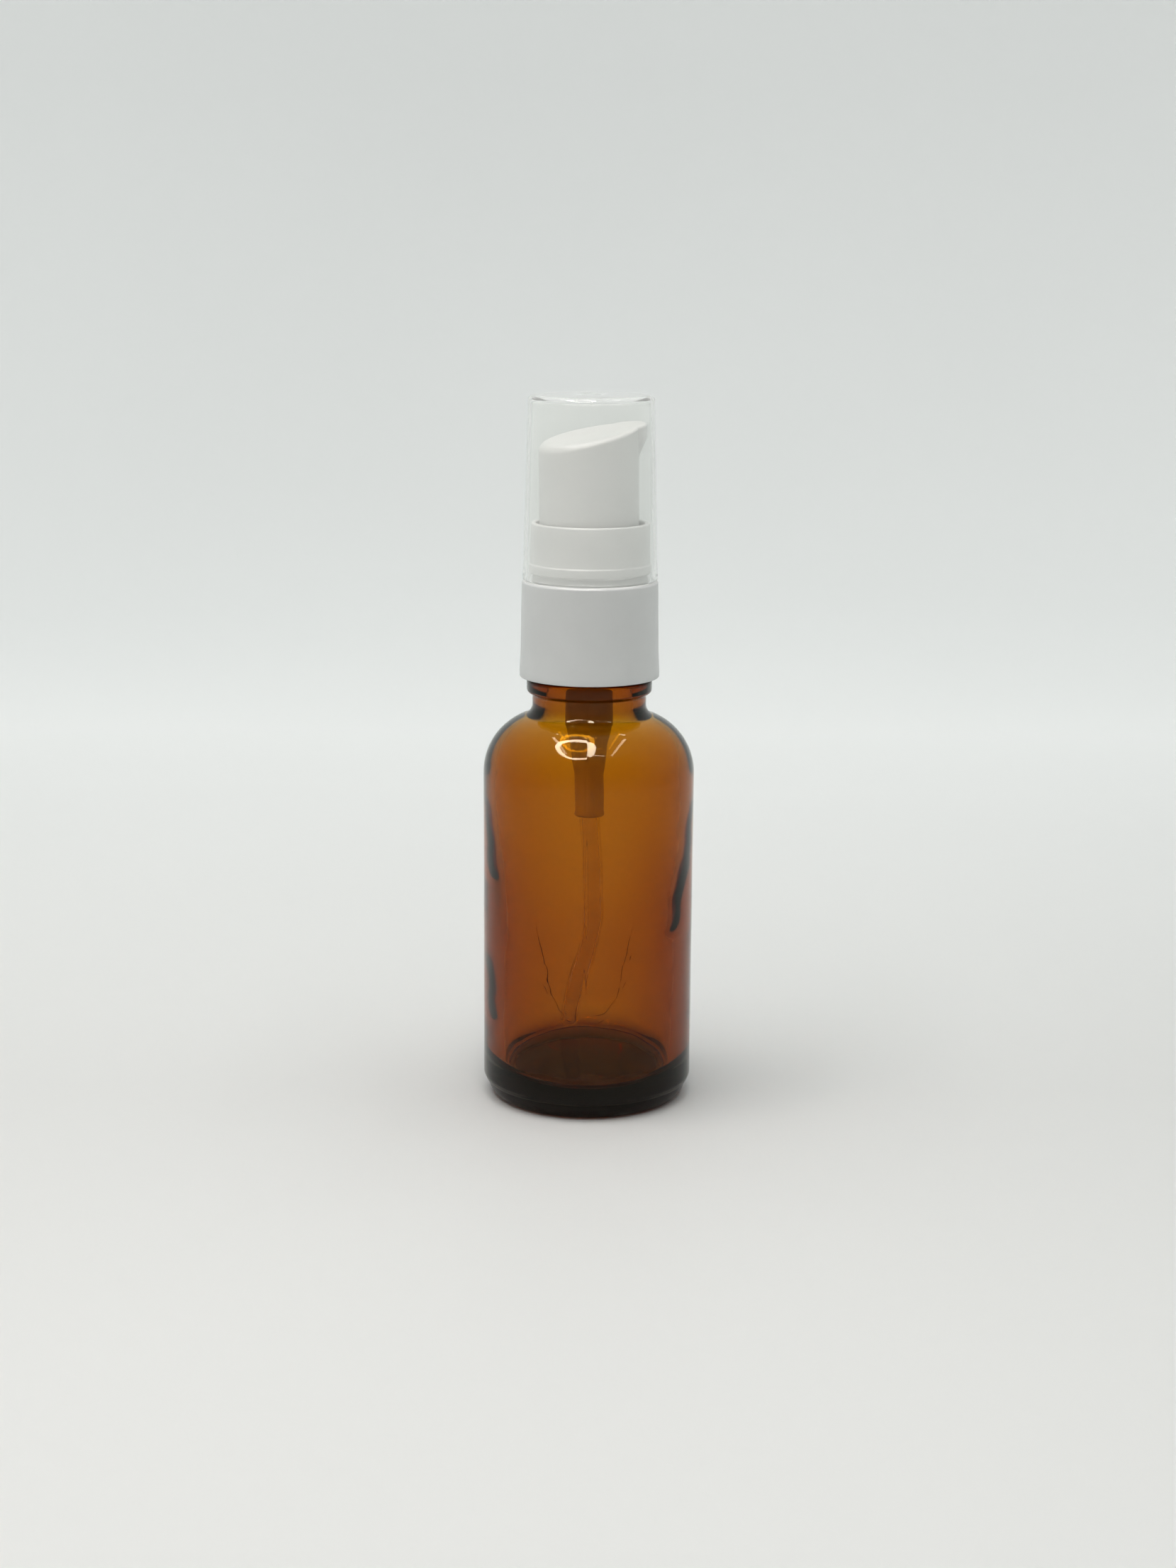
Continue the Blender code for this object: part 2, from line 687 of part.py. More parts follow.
def make_actuator(white, parts, helpers):
    head = loft("actuator", head_skin(44, 9, 3), white, parts)
    head.rotation_euler.z = SPOUT_HEADING
    wall = 1.15 * MM
    hollow_top = 100.3 * MM
    socket_outer, socket_inner = 3.1 * MM, STEM_RADIUS + FIT_GAP
    under = HEAD_BOTTOM - 1 * MM
    shell = HEAD_RADIUS - wall
    hollow = turned(
        "head_hollow",
        [(socket_outer, hollow_top), (shell, hollow_top), (shell, under), (socket_outer, under)],
        None,
        helpers,
        32,
        ring=True,
    )
    cut(head, hollow)
    socket_top = STEM_TOP + SEAT_GAP
    bore = drill("stem_socket", Vector((0, 0, under)), Vector((0, 0, socket_top)), socket_inner, helpers, 24)
    cut(head, bore)
    out = SPOUT_REACH + 1 * MM
    outlet = Vector((out * math.cos(SPOUT_HEADING), out * math.sin(SPOUT_HEADING), OUTLET_HEIGHT))
    inlet = Vector((0, 0, 101.9 * MM))
    cut(head, drill("outlet_channel", inlet, outlet, ORIFICE_RADIUS, helpers))
    riser = drill("riser", Vector((0, 0, 100 * MM)), Vector((0, 0, 102.3 * MM)), STEM_BORE, helpers)
    cut(head, riser)


def main():
    clear_scene()
    parts = new_collection("pump_oil_bottle")
    helpers = new_collection("cutters")
    amber = material("amber_glass", (0.42, 0.15, 0.012), 0.03, transmission=1.0)
    white = material("white_polypropylene", (0.86, 0.88, 0.88), 0.38)
    clear = material("clear_plastic", (0.93, 0.95, 0.95), 0.08, transmission=0.9)
    natural = material("natural_polypropylene", (0.85, 0.86, 0.84), 0.4, transmission=0.3)
    soft = material("piston_polyethylene", (0.9, 0.9, 0.88), 0.5)
    foam = material("gasket_foam", (0.92, 0.92, 0.9), 0.8)
    steel = material("spring_steel", (0.62, 0.62, 0.64), 0.25, metallic=1.0)
    ball = material("ball_glass", (0.8, 0.85, 0.84), 0.05, transmission=0.9)
    make_bottle(amber, parts, helpers)
    make_collar(white, parts, helpers)
    make_guide_ring(white, parts)
    make_gasket(foam, parts)
    make_overcap(clear, parts)
    make_housing(natural, parts, helpers)
    make_stem(white, parts)
    make_piston_pin(natural, parts, helpers)
    make_piston(soft, parts)
    make_spring(steel, parts)
    make_ball(ball, parts)
    make_dip_tube(natural, parts)
    make_actuator(white, parts, helpers)


main()
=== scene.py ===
"""The pump oil bottle's looks: amber glass, white plastics and a clear overcap in a pale light box."""

import math

import bpy
from mathutils import Matrix, Vector, noise


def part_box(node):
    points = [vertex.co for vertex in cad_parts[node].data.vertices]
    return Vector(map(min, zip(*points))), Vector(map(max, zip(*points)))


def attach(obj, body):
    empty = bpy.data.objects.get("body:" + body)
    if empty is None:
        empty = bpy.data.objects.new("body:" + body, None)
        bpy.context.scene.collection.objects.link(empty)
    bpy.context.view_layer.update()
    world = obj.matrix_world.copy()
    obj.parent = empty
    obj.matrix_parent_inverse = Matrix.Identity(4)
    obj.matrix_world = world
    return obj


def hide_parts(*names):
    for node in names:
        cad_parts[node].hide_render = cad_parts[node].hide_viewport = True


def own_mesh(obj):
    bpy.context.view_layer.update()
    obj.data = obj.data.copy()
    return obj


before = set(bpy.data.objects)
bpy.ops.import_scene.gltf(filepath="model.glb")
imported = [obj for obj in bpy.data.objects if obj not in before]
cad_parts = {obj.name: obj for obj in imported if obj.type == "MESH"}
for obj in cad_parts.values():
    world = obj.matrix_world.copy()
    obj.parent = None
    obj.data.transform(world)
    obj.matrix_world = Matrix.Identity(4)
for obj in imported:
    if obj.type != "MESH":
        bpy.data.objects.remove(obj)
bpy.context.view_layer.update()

MM = 0.001


def box_mm(node):
    """The node's lowest and highest corner in millimetres."""
    low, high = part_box(node)
    return low / MM, high / MM


# Driving sizes in millimetres, read from the frame where it has them
GLASS_HIGH = box_mm("bottle")[1]
COLLAR_LOW, COLLAR_HIGH = box_mm("collar")
RING_LOW, RING_HIGH = box_mm("guide_ring")
CAP_LOW, CAP_HIGH = box_mm("overcap")
HOUSING_LOW, HOUSING_HIGH = box_mm("pump_housing")
SPRING_LOW, SPRING_HIGH = box_mm("return_spring")
BODY_RADIUS = GLASS_HIGH.x
GLASS_TOP = GLASS_HIGH.z

WALL = 2.1
BORE_RADIUS = 5.75
SHOULDER_START = 52.2
SHOULDER_RADIUS = 9.5
NECK_RADIUS = 8.9
NECK_FILLET = 2.0
BEAD_RADIUS = 9.77
BEAD_BOTTOM = 64.75
BEAD_TOP = 66.95
FINISH_RADIUS = 8.0
THREAD_CREST = 8.95
THREAD_PITCH = 3.0
THREAD_START = 71.0
THREAD_TURNS = 1.25
HEEL_START = 3.6
FOOT_RADIUS = 15.76
FOOT_TOP = 2.42
REST_OUTER = 13.95
REST_INNER = 13.1
PUSH_UP = 1.3
FLOOR_HEIGHT = 4.3
FLOOR_RISE = 2.9
FLOOR_FILLET = 2.2
LOW_WALL = 2.4
LOW_WALL_TOP = 26.0
HIGH_WALL_BOTTOM = 44.0
THROAT_FILLET = 3.9
NECK_BORE = 6.7
NECK_BORE_TOP = 67.0
FINISH_BORE_BOTTOM = 69.0
INNER_SHOULDER_START = 52.9
INNER_SHOULDER_RADIUS = 8.2
SEAM_HEIGHT = 0.015
SEAM_WIDTH = 0.25
SEAM_CLEAR = 0.75  # no other angles this close to a seam
THREAD_HALF_ROOT = 0.62
THREAD_HALF_CREST = 0.22
THREAD_FADE = 0.12  # in turns
WAVES_FROM, WAVES_TO = 60, 50  # the inside is true above the first height and fully wavy below the second

# The two lines low on the back wall, where the melt settled. At a rise above SETTLE_LOW, half their distance
# is SETTLE_HALF + SETTLE_SPREAD * rise ** SETTLE_POWER
SETTLE_LOW = 7.2
SETTLE_HALF = 1.6
SETTLE_SPREAD = 2.57
SETTLE_POWER = 0.423
SETTLE_OFFSET = 0.6
SETTLE_DEPTH = 0.20
SEED_BUBBLE = (2.3, 13.9, 9.4)
SEAMS = (math.radians(-91.2), math.radians(88.8))

COLLAR_INNER = 9.3
COLLAR_CREST = 8.2
COLLAR_HOLE = 7.1
COLLAR_PLATE = 1.4

HEAD_RADIUS = 7.45
HEAD_BOTTOM = 88.5
HEAD_CENTRE = 104.6
HEAD_SLOPE = 0.204
HEAD_DISH = 0.35
HEAD_REAR_SWELL = 0.45
SPOUT_REACH = 8.9
SPOUT_HALF_ANGLE = math.radians(36)
SPOUT_HEADING = math.radians(25)
SPOUT_UNDERSIDE = 100.6
SPOUT_FULL_HEIGHT = 104.4
OUTLET_HEIGHT = 105.45

CHAMBER_RADIUS = 3.05
STEM_RADIUS = 1.75

TUBE_ROUTE = (
    (0.0, 0.0, 48.9),
    (0.0, 0.0, 45.0),
    (0.6, 0.0, 38.0),
    (0.9, 0.15, 33.0),
    (0.9, 1.1, 27.5),
    (0.0, 3.0, 22.3),
    (-1.3, 5.1, 18.2),
    (-2.1, 7.2, 14.8),
    (-2.8, 9.2, 11.0),
    (-3.1, 10.4, 8.4),
)
TUBE_RADIUS = 1.55
TUBE_WALL = 0.5

# The studio's sizes in metres
LAMP_HEIGHT = 0.45
STRIP_WIDTH = 0.018
STRIP_RADIANCE = 9.6
STRIP_COLOUR = (0.99, 0.985, 0.975)
LOOP_X, LOOP_Y = -0.088, -0.165
LOOP_HALF_X, LOOP_HALF_Y = 0.112, 0.158
LOOP_WIDTH = 0.036
LOOP_COLOUR = (1.0, 0.94, 0.91)
# The front wall's darker colour: a painted shade for the open, dark front
FRONT_WALL_SHADE = (0.42, 0.43, 0.43)
# How strongly the back wall glows: a painted light
BACK_GLOW = 0.20


# ---------------------------------------------------------------- shapes


def arc(centre, radius, start, end, steps, squash=1.0):
    """(r, z) points on a round stretch of a profile; angles in degrees, 0 pointing away from the axis."""
    points = []
    for i in range(steps + 1):
        angle = math.radians(start + (end - start) * i / steps)
        across = centre[0] + radius * math.cos(angle)
        points.append((across, centre[1] + radius * squash * math.sin(angle)))
    return points


def densify(profile, longest, ring=False):
    """The profile with extra points, so that no stretch is longer than longest."""
    corners = [*profile, profile[0]] if ring else profile
    points = []
    for (r0, z0), (r1, z1) in zip(corners, corners[1:]):
        steps = max(1, math.ceil(math.hypot(r1 - r0, z1 - z0) / longest))
        for i in range(steps):
            t = i / steps
            points.append((r0 + (r1 - r0) * t, z0 + (z1 - z0) * t))
    return points if ring else [*points, profile[-1]]


def mesh_object(name, verts, faces, sharp=40.0):
    """A smooth-shaded object from points in millimetres; edges over the sharp angle stay crisp."""
    mesh = bpy.data.meshes.new(name)
    mesh.from_pydata([tuple(c * MM for c in v) for v in verts], [], faces)
    mesh.validate()
    mesh.shade_smooth()
    mesh.set_sharp_from_angle(angle=math.radians(sharp))
    made = bpy.data.objects.new(name, mesh)
    bpy.context.scene.collection.objects.link(made)
    return made


def skin(name, rings, ring=False, sharp=40.0):
    """One closed body through rings of points. A ring of one point is a pole.

    With ring, the last ring joins the first.
    """
    verts, starts = [], []
    for points in rings:
        starts.append(len(verts))
        verts.extend(points)
    pairs = list(zip(range(len(rings)), range(1, len(rings))))
    if ring:
        pairs.append((len(rings) - 1, 0))
    faces = []
    for a, b in pairs:
        count = max(len(rings[a]), len(rings[b]))
        for i in range(count):
            after = (i + 1) % count
            if len(rings[a]) == 1:
                faces.append((starts[a], starts[b] + after, starts[b] + i))
            elif len(rings[b]) == 1:
                faces.append((starts[a] + i, starts[a] + after, starts[b]))
            else:
                faces.append((starts[a] + i, starts[a] + after, starts[b] + after, starts[b] + i))
    return mesh_object(name, verts, faces, sharp)


def even_angles(steps):
    return [2 * math.pi * i / steps for i in range(steps)]


def turned(name, profile, angles, shape=None, ring=False, sharp=40.0):
    """A profile turned round Z, bottom to top on its outer side. shape(r, z, angle) may move a point."""
    rings = []
    for r, z in profile:
        if r < 1e-6:
            rings.append([(0.0, 0.0, z)])
            continue
        points = []
        for angle in angles:
            moved_r, moved_z = shape(r, z, angle) if shape else (r, z)
            points.append((moved_r * math.cos(angle), moved_r * math.sin(angle), moved_z))
        rings.append(points)
    return skin(name, rings, ring, sharp)


def smoothstep(low, high, value):
    """0 up to low and 1 from high, with an even slope between; low may be the larger one."""
    t = min(1.0, max(0.0, (value - low) / (high - low)))
    return t * t * (3 - 2 * t)


def bump(distance, width):
    """A bell curve, 1 at distance 0."""
    return math.exp(-((distance / width) ** 2))


def wobble(x, y, z, scale, seed):
    """Smooth noise from -1 to 1 that changes over about scale millimetres."""
    return noise.noise(Vector((x / scale + seed, y / scale, z / scale)))


def thread_height(z, angle, start):
    """How far up the screw ridge a point lies, 0 to 1. It is right-hand and fades out at its ends."""
    best = 0.0
    for turn in range(-1, 3):
        along = (angle % (2 * math.pi)) / (2 * math.pi) + turn
        if not 0 <= along <= THREAD_TURNS:
            continue
        fade = smoothstep(0, THREAD_FADE, along) * smoothstep(THREAD_TURNS, THREAD_TURNS - THREAD_FADE, along)
        away = abs(z - start - THREAD_PITCH * along)
        rise = smoothstep(THREAD_HALF_ROOT, THREAD_HALF_CREST, away) if away < THREAD_HALF_ROOT else 0.0
        best = max(best, rise * fade)
    return best


def smooth_route(route, steps):
    """Points on a Catmull-Rom curve through the route, steps of them for each stretch."""
    route = [Vector(point) for point in route]
    padded = [route[0] * 2 - route[1], *route, route[-1] * 2 - route[-2]]
    points = []
    for before, start, end, after in zip(padded, padded[1:], padded[2:], padded[3:]):
        for i in range(steps):
            t = i / steps
            points.append(
                0.5
                * (
                    2 * start
                    + (end - before) * t
                    + (2 * before - 5 * start + 4 * end - after) * t**2
                    + (3 * start - before - 3 * end + after) * t**3
                )
            )
    return [*points, route[-1]]


def frames_along(points):
    """A side direction and an up direction across the curve at each point, without twist."""
    side = Vector((1, 0, 0))
    frames = []
    for i, point in enumerate(points):
        ahead = points[min(i + 1, len(points) - 1)] - points[max(i - 1, 0)]
        ahead.normalize()
        side = (side - ahead * side.dot(ahead)).normalized()
        frames.append((side.copy(), ahead.cross(side)))
    return frames


def tube_rings(points, radius, around):
    rings = []
    for point, (side, up) in zip(points, frames_along(points)):
        ring = []
        for angle in even_angles(around):
            ring.append(tuple(point + side * radius * math.cos(angle) + up * radius * math.sin(angle)))
        rings.append(ring)
    return rings


# ---------------------------------------------------------------- materials


class Nodes:
    """Short calls for making one material's nodes."""

    def __init__(self, name):
        self.material = bpy.data.materials.new(name)
        self.material.use_nodes = True
        self.tree = self.material.node_tree
        self.shader = self.tree.nodes["Principled BSDF"]
        self.output = self.tree.nodes["Material Output"]

    def add(self, kind, **inputs):
        node = self.tree.nodes.new(kind)
        for key, value in inputs.items():
            node.inputs[key.replace("_", " ")].default_value = value
        return node

    def link(self, source, target):
        self.tree.links.new(source, target)

    def noise(self, scale, detail, coords=None):
        node = self.add("ShaderNodeTexNoise", Scale=scale, Detail=detail, Roughness=0.55)
        self.link((coords or self.coords()), node.inputs["Vector"])
        return node.outputs["Fac"]

    def coords(self, scale=(1, 1, 1)):
        """Object coordinates, stretched by scale."""
        found = self.add("ShaderNodeTexCoord")
        mapping = self.add("ShaderNodeMapping")
        mapping.inputs["Scale"].default_value = scale
        self.link(found.outputs["Object"], mapping.inputs["Vector"])
        return mapping.outputs["Vector"]

    def spread(self, source, low, high, start=0.3, end=0.7):
        """Maps start..end of a value to low..high."""
        node = self.tree.nodes.new("ShaderNodeMapRange")
        for socket, value in zip(node.inputs[1:5], (start, end, low, high)):
            socket.default_value = value
        self.link(source, node.inputs["Value"])
        return node.outputs["Result"]

    def colours(self, source, low, high, start=0.3, end=0.7):
        ramp = self.tree.nodes.new("ShaderNodeValToRGB")
        ramp.color_ramp.elements[0].position = start
        ramp.color_ramp.elements[1].position = end
        ramp.color_ramp.elements[0].color = (*low, 1)
        ramp.color_ramp.elements[1].color = (*high, 1)
        self.link(source, ramp.inputs["Fac"])
        return ramp.outputs["Color"]

    def mix(self, share, start, end):
        """A colour between start and end; each is a socket or a colour."""
        node = self.tree.nodes.new("ShaderNodeMix")
        node.data_type = "RGBA"
        self.link(share, node.inputs["Factor"])
        for socket, value in (("A", start), ("B", end)):
            target = next(i for i in node.inputs if i.name == socket and i.type == "RGBA")
            if isinstance(value, tuple):
                target.default_value = (*value, 1)
            else:
                self.link(value, target)
        return next(o for o in node.outputs if o.type == "RGBA")

    def maths(self, operation, *values):
        """A Math node's result. Each value is a socket or a number."""
        node = self.tree.nodes.new("ShaderNodeMath")
        node.operation = operation
        for value, socket in zip(values, node.inputs):
            if isinstance(value, (int, float)):
                socket.default_value = value
            else:
                self.link(value, socket)
        return node.outputs["Value"]

    def between(self, share, start, end):
        """A value between start and end."""
        node = self.tree.nodes.new("ShaderNodeMix")
        for socket, value in zip(node.inputs[:4], (share, None, start, end)):
            if value is not None:
                self.link(value, socket)
        return node.outputs[0]

    def bump(self, source, strength, distance, under=None):
        """Raises the surface by a height, on top of another bump where one is given."""
        node = self.add("ShaderNodeBump", Strength=strength, Distance=distance)
        self.link(source, node.inputs["Height"])
        if under:
            self.link(under, node.inputs["Normal"])
        self.link(node.outputs["Normal"], self.shader.inputs["Normal"])
        return node.outputs["Normal"]

    def set(self, **values):
        for key, value in values.items():
            self.shader.inputs[key.replace("_", " ")].default_value = value
        return self


def white_plastic(name, tone, texture_scale):
    """Satin moulded polypropylene: a fine sparked texture, faint flow mottling and handling marks."""
    made = Nodes(name)
    made.set(IOR=1.49)
    mottle = made.noise(140, 4)
    darker = tuple(c * 0.965 for c in tone)
    made.link(made.colours(mottle, darker, tone), made.shader.inputs["Base Color"])
    made.link(made.spread(made.noise(420, 5), 0.30, 0.44), made.shader.inputs["Roughness"])
    made.bump(made.noise(texture_scale, 2), 0.25, 0.00002)
    return made.material


def amber_glass():
    """Moulded amber glass, coloured by its depth, with a faint orange-peel on its skin."""
    made = Nodes("amber_glass")
    made.set(Transmission_Weight=1.0, IOR=1.52)
    made.set(Base_Color=(1.0, 0.93, 0.5, 1))
    made.set(Specular_Tint=(0.60, 0.58, 0.48, 1), Specular_IOR_Level=0.32)
    peel = made.noise(260, 2, coords=made.coords((1, 1, 0.45)))
    skin_normal = made.bump(peel, 0.12, 0.00006)
    made.bump(settle_lines(made), 1.0, 0.00012, skin_normal)
    made.link(made.spread(made.noise(90, 4), 0.0, 0.03, 0.45, 0.8), made.shader.inputs["Roughness"])
    depth = made.add("ShaderNodeVolumeAbsorption", Color=(0.873, 0.722, 0.0, 1), Density=1500)
    made.link(depth.outputs["Volume"], made.output.inputs["Volume"])
    return made.material


def settle_lines(made):
    """The height of two thin curved folds low on the back wall, and of a seed bubble."""
    place = made.tree.nodes.new("ShaderNodeSeparateXYZ")
    made.link(made.coords((1 / MM, 1 / MM, 1 / MM)), place.inputs[0])
    x, y, z = place.outputs
    stray = made.maths("MULTIPLY", made.maths("SUBTRACT", made.noise(260, 2), 0.5), 1.6)
    above = made.maths("MAXIMUM", made.maths("SUBTRACT", z, SETTLE_LOW), 0.0)
    half = made.maths("MULTIPLY_ADD", made.maths("POWER", above, SETTLE_POWER), SETTLE_SPREAD, SETTLE_HALF)
    across = made.maths("ABSOLUTE", made.maths("ADD", x, SETTLE_OFFSET))
    away = made.maths("ADD", made.maths("SUBTRACT", across, half), stray)
    fold = made.maths("EXPONENT", made.maths("MULTIPLY", made.maths("MULTIPLY", away, away), -40.0))
    back = made.spread(y, 0.0, 1.0, 4.0, 8.0)
    fade_out, fade_in = made.spread(z, 1.0, 0.0, 20.0, 30.0), made.spread(z, 0.0, 1.0, 6.0, 7.5)
    height = made.maths("MULTIPLY", fade_out, fade_in)
    folds = made.maths("MULTIPLY", fold, made.maths("MULTIPLY", back, height))
    seed = made.tree.nodes.new("ShaderNodeVectorMath")
    seed.operation = "DISTANCE"
    made.link(made.coords((1 / MM, 1 / MM, 1 / MM)), seed.inputs[0])
    seed.inputs[1].default_value = SEED_BUBBLE
    return made.maths("ADD", folds, made.spread(seed.outputs["Value"], 0.9, 0.0, 0.25, 0.7))


def clear_plastic():
    """Clear moulded plastic with the slight haze and draw lines of an injection-moulded cap."""
    made = Nodes("clear_plastic")
    made.set(Transmission_Weight=0.84, IOR=1.06, Coat_Weight=0.6, Coat_Roughness=0.05, Coat_IOR=1.4)
    made.set(Base_Color=(0.97, 0.98, 0.97, 1))
    streaks = made.noise(700, 3, coords=made.coords((1, 1, 0.04)))
    made.bump(streaks, 0.03, 0.00001)
    made.link(made.spread(made.noise(160, 4), 0.015, 0.06), made.shader.inputs["Roughness"])
    return made.material


def natural_plastic(name, tone, transmission, roughness, ior=1.49):
    """Unpigmented polypropylene or polyethylene, milky and half see-through."""
    made = Nodes(name)
    made.set(IOR=ior, Transmission_Weight=transmission)
    darker = tuple(c * 0.95 for c in tone)
    made.link(made.colours(made.noise(180, 4), darker, tone), made.shader.inputs["Base Color"])
    low, high = roughness
    made.link(made.spread(made.noise(500, 4), low, high), made.shader.inputs["Roughness"])
    made.bump(made.noise(1500, 2, coords=made.coords((1, 1, 0.15))), 0.2, 0.00002)
    return made.material


def gasket_foam():
    """Closed-cell polyethylene foam with its small cells showing."""
    made = Nodes("gasket_foam")
    cells = made.add("ShaderNodeTexVoronoi", Scale=3200)
    made.link(made.coords(), cells.inputs["Vector"])
    tone = made.colours(cells.outputs["Distance"], (0.72, 0.72, 0.69), (0.88, 0.88, 0.86), 0.1, 0.6)
    made.link(tone, made.shader.inputs["Base Color"])
    made.set(Roughness=0.8)
    made.bump(cells.outputs["Distance"], 0.5, 0.00005)
    return made.material


def spring_steel():
    """Bright drawn stainless wire with fine die lines."""
    made = Nodes("spring_steel")
    made.set(Metallic=1.0)
    lines = made.noise(2400, 3)
    made.link(made.colours(lines, (0.5, 0.5, 0.52), (0.68, 0.68, 0.69)), made.shader.inputs["Base Color"])
    made.link(made.spread(lines, 0.18, 0.34), made.shader.inputs["Roughness"])
    return made.material


def ball_glass():
    """Polished glass ball with a trace of grinding haze."""
    made = Nodes("ball_glass")
    made.set(Transmission_Weight=1.0, IOR=1.5)
    made.set(Base_Color=(0.9, 0.95, 0.93, 1))
    made.link(made.spread(made.noise(1800, 3), 0.0, 0.06), made.shader.inputs["Roughness"])
    return made.material


def repaint(node, material):
    """Gives a CAD node that stays a better material."""
    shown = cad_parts[node]
    if not shown.material_slots:
        shown.data.materials.append(material)
    for slot in shown.material_slots:
        slot.material = material


def finish_piece(piece, material, body, *nodes):
    """The piece gets its material, rides on the body and stands for the CAD nodes."""
    piece.data.materials.append(material)
    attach(piece, body)
    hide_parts(*nodes)
    return piece


# ---------------------------------------------------------------- bottle


def seam_angles(steps):
    """Even angles with closer ones beside each mould seam."""
    close = [0.0]
    for away in (0.09, 0.18, 0.28, 0.42, 0.65):
        close += [away / BODY_RADIUS, -away / BODY_RADIUS]
    angles = set()
    spacing = 2 * math.pi / steps
    for angle in even_angles(steps):
        nearest = min(abs(math.remainder(angle - seam, 2 * math.pi)) for seam in SEAMS)
        if nearest > SEAM_CLEAR / BODY_RADIUS + spacing * 0.2:
            angles.add(angle)
    for seam in SEAMS:
        for away in close:
            angles.add((seam + away) % (2 * math.pi))
    return sorted(angles)


def seam_rise(angle):
    """The mould seam's height in millimetres at an angle."""
    nearest = min(abs(math.remainder(angle - seam, 2 * math.pi)) for seam in SEAMS)
    return SEAM_HEIGHT * bump(nearest * BODY_RADIUS, SEAM_WIDTH)


def tangent_arcs(wall_radius, start, shoulder_radius, side_radius, fillet_radius, steps):
    """The convex shoulder and the concave fillet above it, from the body wall up to side_radius."""
    shoulder = (wall_radius - shoulder_radius, start)
    across = side_radius + fillet_radius - shoulder[0]
    rise = math.sqrt((shoulder_radius + fillet_radius) ** 2 - across**2)
    fillet = (side_radius + fillet_radius, start + rise)
    meet = math.degrees(math.atan2(rise, across))
    return [
        *arc(shoulder, shoulder_radius, 0, meet, steps),
        *arc(fillet, fillet_radius, 180 + meet, 180, steps // 2)[1:],
    ]


def outside_shape(r, z, angle):
    """The bottle's outer skin: seam, thread and the slight waviness of moulded glass."""
    x, y = math.cos(angle) * r, math.sin(angle) * r
    moved = r
    if HEEL_START < z:
        moved -= 0.03 * (1 + wobble(x, y, z, 9.0, 3.1)) * smoothstep(HEEL_START, 8, z)
    if z > FOOT_TOP:
        moved += seam_rise(angle) - SEAM_HEIGHT
    if THREAD_START - 1 < z < THREAD_START + THREAD_PITCH * THREAD_TURNS + 1:
        moved += (THREAD_CREST - FINISH_RADIUS) * thread_height(z, angle, THREAD_START)
    return moved, z


def settle_wave(x, y, z):
    """How much thicker the back wall is between the two settle lines."""
    if y < 0 or z < SETTLE_LOW:
        return 0.0
    half = SETTLE_HALF + SETTLE_SPREAD * (z - SETTLE_LOW) ** SETTLE_POWER + 0.25 * wobble(x, 0, z, 4.0, 7.7)
    fade = smoothstep(30, 22, z)
    return smoothstep(0.15, -0.15, abs(x + SETTLE_OFFSET) - half) * SETTLE_DEPTH * fade


def edge_thickening(angle, z):
    """Uneven wall thickness: more glass at the two sides, with leaning ridges beside the outline."""
    ridges = (
        # low angle, low height, high angle, high height, width, depth
        (-22.0, 27.5, -12.0, 38.0, 0.17, 0.27),
        (-7.0, 36.0, -4.0, 46.5, 0.14, 0.20),
        (190.0, 36.0, 186.0, 47.0, 0.16, 0.23),
        (189.0, 13.0, 186.5, 22.0, 0.16, 0.23),
    )
    total = 0.5 * math.cos(angle) ** 2 * smoothstep(46, 30, z)
    for low_angle, low, high_angle, high, width, depth in ridges:
        share = (z - low) / (high - low)
        middle = math.radians(low_angle + (high_angle - low_angle) * share + 1.2 * math.sin(z * 1.1))
        away = math.remainder(angle - middle, 2 * math.pi)
        fade = smoothstep(-0.08, 0.10, share) * smoothstep(1.15, 0.75, share)
        total += depth * bump(away, width) * fade
    return total


def inside_shape(r, z, angle):
    """The bottle's inner skin, which no mould touched: broad waves, a settle wave and an uneven floor."""
    x, y = math.cos(angle) * r, math.sin(angle) * r
    if z > WAVES_FROM:
        return r, z
    fade = smoothstep(WAVES_FROM, WAVES_TO, z)
    inward = 0.13 * wobble(x, y, z * 0.5, 9.0, 1.3) + 0.03 * wobble(x, y, z, 3.5, 5.9)
    inward += settle_wave(x, y, z) + edge_thickening(angle, z)
    ripple = bump(z - 9.5, 2.4) * smoothstep(2, 9, y)
    inward += 0.12 * ripple * wobble(x, y, z, 1.3, 9.2)
    return r - inward * fade * smoothstep(3.5, 9, r), z + floor_lift(x, y, z)


def floor_lift(x, y, z):
    """How far the floor inside is above its height at the front: it rises towards the back, and is uneven."""
    wall = BODY_RADIUS - LOW_WALL
    rise = FLOOR_RISE * (1 + y / wall) / 2
    uneven = 0.10 * wobble(x, y, 0, 6.0, 4.4)
    return (rise + uneven) * smoothstep(15, FLOOR_HEIGHT + FLOOR_FILLET, z)


